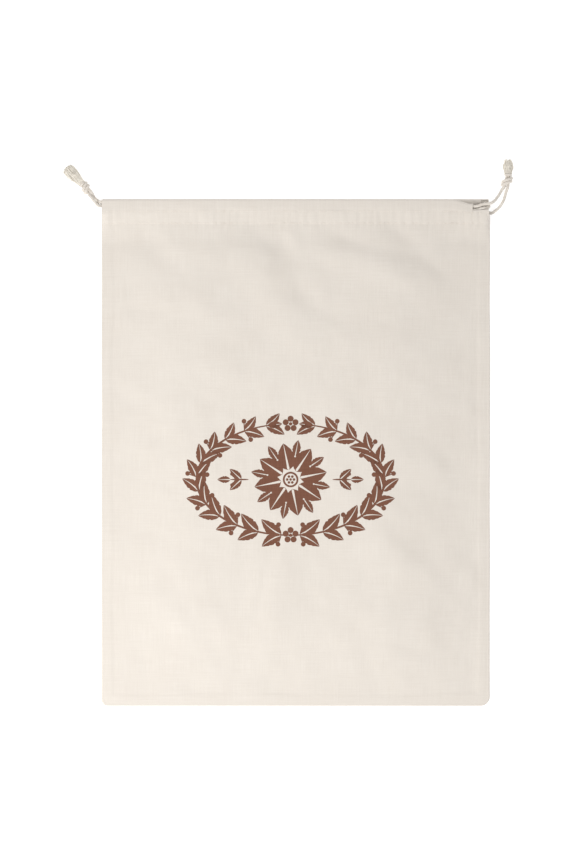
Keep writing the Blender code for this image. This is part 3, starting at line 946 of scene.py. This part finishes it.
def make_tassel(side, material):
    """Frayed cord ends: fine wavy yarns that fan out from the knot and lie on each other."""
    knot = KNOTS[side]
    rng = random.Random(f"tassel {side}")
    root = knot_line(side, [(knot["root"], 0, 0), (knot["root"] + 1 * MM, 0, 0)])[0]
    ahead = Matrix.Rotation(knot["tassel_heading"], 3, "Z")
    yarns = []
    for i in range(YARN_LAYERS * YARNS_ACROSS):
        layer, column = divmod(i, YARNS_ACROSS)
        place = (column * 2 / (YARNS_ACROSS - 1) - 1) + rng.uniform(-0.06, 0.06)
        lock = round(place * LOCKS) / LOCKS
        points = 1 - knot["tassel_points"] * (1 - abs(math.sin(math.pi * place))) - 0.1 * place**4
        reach = knot["tassel_length"] * rng.uniform(0.88, 1.0) * points
        wave, phase = rng.uniform(0.05, 0.2) * MM, rng.uniform(0, 6.3)
        thick = rng.uniform(0.24, 0.33) * MM
        height = thick + layer * YARN_LAYER * (1 - 0.7 * place * place) + rng.uniform(0, 0.15) * MM
        line = []
        for step in range(YARN_STEPS + 1):
            share = -0.12 + 1.12 * step / YARN_STEPS
            gathered = place + (lock - place) * 0.25 * smoothstep(0.1, 0.8, share)
            across = gathered * tassel_half_width(knot, share) + wave * math.sin(share * 9 + phase)
            point = root + ahead @ Vector((reach * share, across, 0))
            settle = smoothstep(-0.1, 0.5, share)
            bundle = root.z + (layer - 1.5) * 0.6 * MM
            point.z = max(thick, bundle + (height - bundle) * settle)
            line.append(point)
        yarns.append((line, thick))

    def fill(work, uv_layer):
        for line, thick in yarns:
            twisted_cord(work, uv_layer, line, thick, 2, 1.6 * MM, 6, taper=0.4)

    return new_piece(f"tassel_{side}", fill, material)


# Stitches

def stitch(work, uv_layer, start, end, up, radius):
    """One stitch: a short thread that rises out of the cloth and dives back into it."""
    line = []
    for share in (0.0, 0.14, 0.5, 0.86, 1.0):
        rise = radius * 1.5 * math.sin(math.pi * share) ** 0.6 - radius * 0.9
        line.append(start.lerp(end, share) + up * rise)
    twisted_cord(work, uv_layer, line, radius, 2, 1.1 * MM, 6)


def front_stitch_ends(rng, row_at, ends):
    points = []
    for x in ends:
        y = row_at(x) + rng.uniform(-STITCH_STRAY, STITCH_STRAY)
        points.append(Vector((x, y, front_height(x, y) + CLOTH / 2)))
    return points


def back_stitch_ends(rng, row_at, ends):
    y = row_at(ends[0]) + rng.uniform(-STITCH_STRAY, STITCH_STRAY)
    return [Vector((x, y, BACK_STITCH_Z)) for x in ends]


def make_stitches(side, first_row, ends_of, up, radius, material):
    """Both rows of stitches across one panel's hem."""
    rng = random.Random(f"{side} stitches")

    def fill(work, uv_layer):
        for row_at in (first_row, lambda x: SECOND_STITCH):
            x = -SIDE + STITCH_MARGIN
            while x + STITCH_PITCH < SIDE - STITCH_MARGIN:
                points = ends_of(rng, row_at, (x + STITCH_START, x + STITCH_PITCH - STITCH_END))
                stitch(work, uv_layer, *points, up, radius)
                x += STITCH_PITCH

    return new_piece(f"{side}_stitches", fill, material)


def make_front_stitches(material):
    return make_stitches("front", front_stitch, front_stitch_ends, Vector((0, 0, 1)), 0.2 * MM, material)


def make_back_stitches(material):
    down = Vector((0, 0, -1))
    return make_stitches("back", lambda x: STITCH, back_stitch_ends, down, 0.13 * MM, material)


# Print

def ink_point(x, y, layer):
    """A point of the printed front, just above the cloth. Ink that overlaps lies in layers."""
    return Vector((x, y, front_height(x, y) + CLOTH / 2 + INK_HEIGHT + INK_STEP * layer))


def ink_patch(work, uv_layer, edge_a, edge_b, rows, layer):
    """Ink between two lines of points in the plane of the bag, with enough rows to follow the cloth."""
    grid = []
    for i in range(rows + 1):
        share = i / rows
        grid.append([work.verts.new(ink_point(*a.lerp(b, share), layer)) for a, b in zip(edge_a, edge_b)])
    for low, high in zip(grid, grid[1:]):
        for k in range(len(low) - 1):
            face = work.faces.new((low[k], low[k + 1], high[k + 1], high[k]))
            face.smooth = True
            for loop in face.loops:
                loop[uv_layer].uv = (loop.vert.co.x, loop.vert.co.y - BOTTOM)


def plane(x, y):
    return Vector((x, y))


def polar(radius, angle):
    return radius * plane(math.cos(angle), math.sin(angle))


def leaf(work, uv_layer, base, heading, length, width, vein, bend=0.0, layer=0):
    """A leaf as two inked halves with a bare vein between them. Short bare cuts run out from the vein."""
    steps = 18
    for sign in (1, -1):
        middle, rim = [], []
        for i in range(steps + 1):
            share = i / steps
            swell = math.sin(math.pi * share**0.8) ** 0.85
            curve = bend * length * share * (1 - share) * 4
            gap = vein * (1 - share) * 0.5 + 0.08 * MM
            cut = 1 - 0.16 * max(0.0, math.sin(share * 5 * 2 * math.pi)) ** 2 * swell
            across_in = curve + sign * min(gap, swell * width / 2)
            across_out = curve + sign * max(swell * width / 2 * cut, min(gap, swell * width / 2))
            for line, across in ((middle, across_in), (rim, across_out)):
                local = Vector((length * share, across))
                local.rotate(Matrix.Rotation(heading, 2))
                line.append(base + local)
        ink_patch(work, uv_layer, middle, rim, 3, layer)


def circle(centre, radius, steps):
    angles = [2 * math.pi * i / steps for i in range(steps + 1)]
    return [centre + polar(radius, a) for a in angles]


def disc(work, uv_layer, centre, radius, inner=0.0, steps=20, layer=3):
    """An inked disc, or a ring if it has an inner radius."""
    core = circle(centre, inner or radius * 0.02, steps)
    ink_patch(work, uv_layer, core, circle(centre, radius, steps), 2, layer)


def stroke(work, uv_layer, points, width):
    """A drawn line of one width that thins towards its ends."""
    left, right = [], []
    for i, point in enumerate(points):
        ahead = (points[min(i + 1, len(points) - 1)] - points[max(i - 1, 0)]).normalized()
        across = plane(-ahead.y, ahead.x)
        share = i / (len(points) - 1)
        half = width / 2 * (0.35 + 0.65 * math.sin(math.pi * share) ** 0.5)
        left.append(point + across * half)
        right.append(point - across * half)
    ink_patch(work, uv_layer, left, right, 1, 2)


def flower(work, uv_layer, centre):
    """An open flower with two rounds of petals, a ringed middle and bare lines in the petals."""
    for i in range(8):
        heading = 2 * math.pi * i / 8 + 0.2
        base = centre + polar(7.4 * MM, heading)
        leaf(work, uv_layer, base, heading, 21 * MM, 14.5 * MM, 1.8 * MM, layer=i % 2)
    for i in range(8):
        heading = 2 * math.pi * (i + 0.5) / 8 + 0.2
        base = centre + polar(19 * MM, heading)
        leaf(work, uv_layer, base, heading, 12 * MM, 6.4 * MM, 0.7 * MM, layer=2)
    disc(work, uv_layer, centre, 6.0 * MM, inner=4.6 * MM, steps=32)
    for radius, count in ((0.0, 1), (2.6 * MM, 6)):
        for i in range(count):
            disc(work, uv_layer, centre + polar(radius, 2 * math.pi * i / count), 1.0 * MM)


def wreath_point(angle):
    half_x, half_y = PRINT_WIDTH / 2 - 9 * MM, PRINT_HEIGHT / 2 - 8 * MM
    return PRINT_MIDDLE + plane(half_x * math.cos(angle), half_y * math.sin(angle))


def wreath(work, uv_layer):
    """Two leafy branches that cross at the bottom and nearly meet at the top, with stalked berries."""
    count = 12
    for side in (1, -1):
        angles = [-math.pi / 2 + side * (-0.1 + 3.08 * i / 60) for i in range(61)]
        stroke(work, uv_layer, [wreath_point(a) for a in angles], 1.7 * MM)
        for i in range(count):
            angle = -math.pi / 2 + side * (0.1 + 2.78 * i / (count - 1))
            here, after = wreath_point(angle), wreath_point(angle + side * 0.02)
            along = math.atan2((after - here).y, (after - here).x)
            size = 1.0 - 0.2 * i / (count - 1)
            for lean, length, width, layer in ((0.6, 19.5, 9.6, 0), (-0.6, 17.5, 8.8, 1)):
                heading = along + side * lean
                bend = -0.05 * side if lean > 0 else 0.05 * side
                shape = (length * MM * size, width * MM * size, 1.1 * MM)
                leaf(work, uv_layer, here, heading, *shape, bend, layer)
            if i % 2 == 0:
                berries(work, uv_layer, here, along, side)
        end = wreath_point(-math.pi / 2 + side * 2.98)
        before = wreath_point(-math.pi / 2 + side * 2.9)
        heading = math.atan2((end - before).y, (end - before).x)
        leaf(work, uv_layer, before, heading, 11 * MM, 5.6 * MM, 0.8 * MM)


def berries(work, uv_layer, base, along, side):
    """A pair of berries on short stalks, one on each side of the branch."""
    for out, lean in ((8.2, 1.25), (7.6, -1.3)):
        tip = base + polar(out * MM, along + side * lean)
        stroke(work, uv_layer, [base.lerp(tip, s / 6) for s in range(7)], 0.8 * MM)
        disc(work, uv_layer, tip, 1.8 * MM)


def side_sprig(work, uv_layer, start, side):
    """A short sprig of three leaves beside the flower."""
    heading = 0.0 if side > 0 else math.pi
    tip = start + 14 * MM * plane(side, 0)
    stroke(work, uv_layer, [start.lerp(tip, s / 6) for s in range(7)], 1.2 * MM)
    leaf(work, uv_layer, tip, heading, 10 * MM, 5.4 * MM, 0.7 * MM)
    for lean in (0.75, -0.75):
        base = start.lerp(tip, 0.4)
        leaf(work, uv_layer, base, heading + lean * side, 12 * MM, 6.2 * MM, 0.8 * MM)
    for lean in (1, -1):
        disc(work, uv_layer, start.lerp(tip, 0.92) + plane(0, lean * 4.2 * MM), 1.3 * MM)


def small_blossom(work, uv_layer, centre, radius):
    """Five round petals and a middle."""
    for i in range(5):
        heading = math.pi / 2 + 2 * math.pi * i / 5
        disc(work, uv_layer, centre + polar(radius * 0.62, heading), radius * 0.36)
    disc(work, uv_layer, centre, radius * 0.2, layer=4)


def make_print(material):
    def fill(work, uv_layer):
        flower(work, uv_layer, PRINT_MIDDLE)
        wreath(work, uv_layer)
        for angle in (math.pi / 2, -math.pi / 2):
            small_blossom(work, uv_layer, wreath_point(angle), 6.4 * MM)
        for side in (1, -1):
            side_sprig(work, uv_layer, PRINT_MIDDLE + plane(side * 32.5 * MM, 0), side)

    return new_piece("printed_wreath", fill, material)


# Floor and lights

def make_floor():
    material, _, _, shader = node_material("floor")
    shader.inputs["Base Color"].default_value = (0.93, 0.93, 0.93, 1)
    shader.inputs["Roughness"].default_value = 1.0
    shader.inputs["Specular IOR Level"].default_value = 0.0
    shader.inputs["Emission Color"].default_value = (1, 1, 1, 1)
    shader.inputs["Emission Strength"].default_value = 0.4
    bpy.ops.mesh.primitive_plane_add(size=6, location=(0, 0, -0.02 * MM))
    floor = bpy.context.object
    floor.name = "floor"
    floor.data.materials.append(material)


def area_light(name, place, target, size, power, colour):
    data = bpy.data.lights.new(name, "AREA")
    data.shape = "DISK"
    data.size = size
    data.energy = power
    data.color = colour
    light = bpy.data.objects.new(name, data)
    light.location = place
    light.rotation_euler = (Vector(place) - Vector(target)).to_track_quat("Z", "Y").to_euler()
    bpy.context.scene.collection.objects.link(light)


def make_lights():
    area_light("key", (-0.55, -0.46, 0.86), (0, 0, 0), 0.6, 7.8, (1.0, 0.992, 0.985))
    area_light("fill", (0.8, 0.2, 1.9), (0, 0, 0), 2.0, 5.5, (0.97, 0.98, 1.0))
    world = bpy.data.worlds.new("studio")
    world.use_nodes = True
    background = world.node_tree.nodes["Background"]
    background.inputs["Color"].default_value = (0.99, 0.99, 1.0, 1)
    background.inputs["Strength"].default_value = 0.74
    bpy.context.scene.world = world
    bpy.context.scene.view_settings.view_transform = "Standard"


def main():
    make_camera()
    cord_look = cord_material("cotton_cord", (0.54, 0.49, 0.43), (0.79, 0.74, 0.67))
    yarn_look = cord_material("cotton_yarn", (0.63, 0.585, 0.505), (0.86, 0.81, 0.715))
    routes = {"left": left_cord_route(), "right": right_cord_route()}
    cords = {side: make_cord(side, route, cord_look) for side, route in routes.items()}
    cloth_tones = ((0.66, 0.61, 0.548), (0.7, 0.652, 0.59))
    # The third value of each cloth material is its painted shade in the grooves between the threads.
    cloth_look = cloth_material("undyed_cloth", *cloth_tones, 0.95, (0.98, 0.975, 0.97))
    ink_tones = ((0.165, 0.07, 0.042), (0.205, 0.09, 0.056))
    ink_look = cloth_material("brown_ink", *ink_tones, 0.88, (0.9, 0.9, 0.9))
    thread_look = cord_material("sewing_thread", (0.66, 0.6, 0.54), (0.78, 0.72, 0.65))
    front = make_front(cloth_look)
    back = make_back(cloth_look)
    slit_edge = make_slit_edge(cloth_look)
    front_stitches = make_front_stitches(thread_look)
    back_stitches = make_back_stitches(thread_look)
    wreath_print = make_print(ink_look)
    make_floor()
    make_lights()
    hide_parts("front_panel")
    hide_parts("back_panel")
    for side in ("left", "right"):
        cord, line = cords[side]
        knot = make_knot(side, cord_look)
        tassel = make_tassel(side, yarn_look)
        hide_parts(f"drawcord_{side}")
        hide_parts(f"knot_{side}")
        for piece in (cord, knot, tassel):
            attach(piece, "root")
    for piece in (front, back, slit_edge, front_stitches, back_stitches, wreath_print):
        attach(piece, "root")


main()
